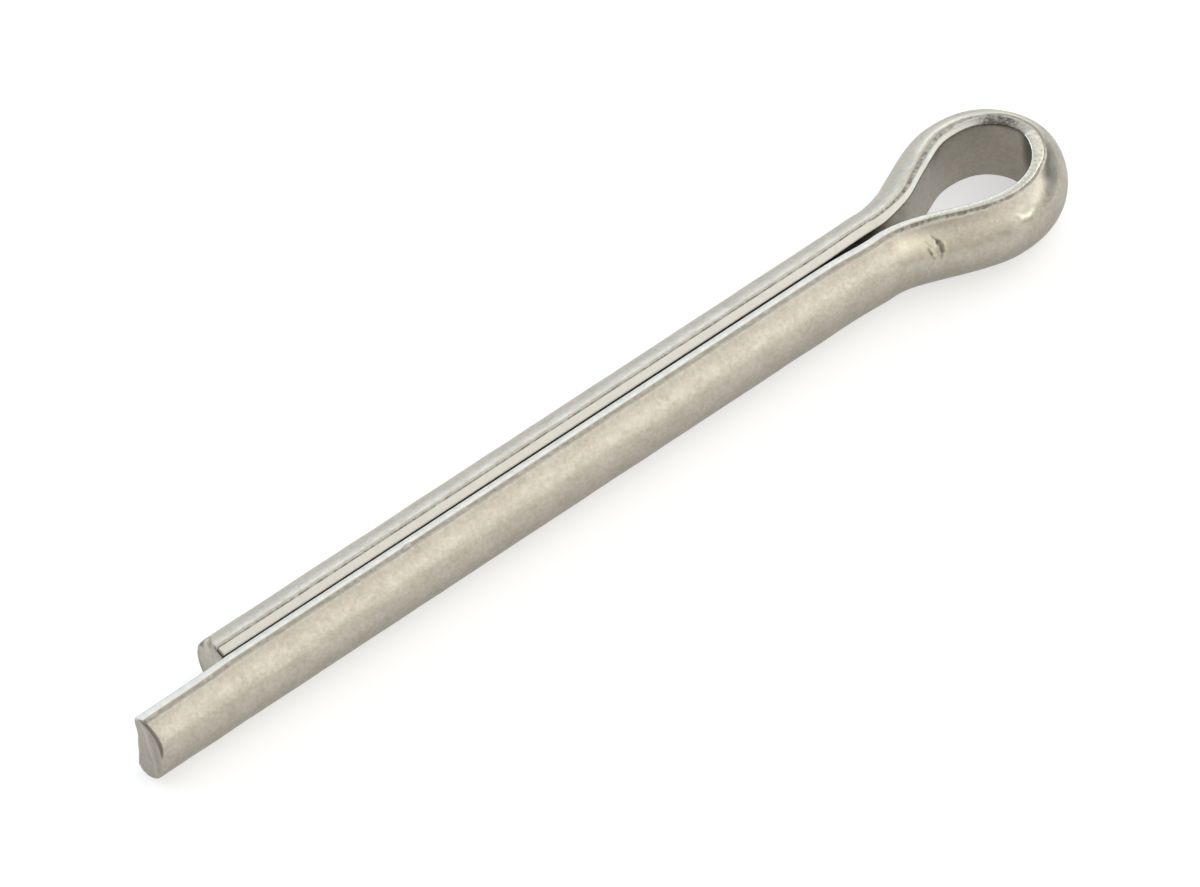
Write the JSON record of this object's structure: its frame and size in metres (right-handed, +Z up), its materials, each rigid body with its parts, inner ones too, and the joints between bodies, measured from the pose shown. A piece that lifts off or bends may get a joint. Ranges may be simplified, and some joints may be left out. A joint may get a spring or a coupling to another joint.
{
  "type": "cotter pin",
  "caption": "Split cotter pin: half-round wire bent double into an eye and two legs of unequal length that close flat to flat.",
  "frame": {"origin": "on the shank's axis, where the necks of the eye start", "axes": "+X along the shank towards the ends of the legs, +Y across the plane of the eye towards the long leg, +Z up, square to that plane"},
  "size_m": [0.0382, 0.0056, 0.0028],
  "materials": {
    "steel": "satin, tumbled"
  },
  "bodies": {
    "root": {"cotter_pin": "steel"}
  },
  "joints": []
}
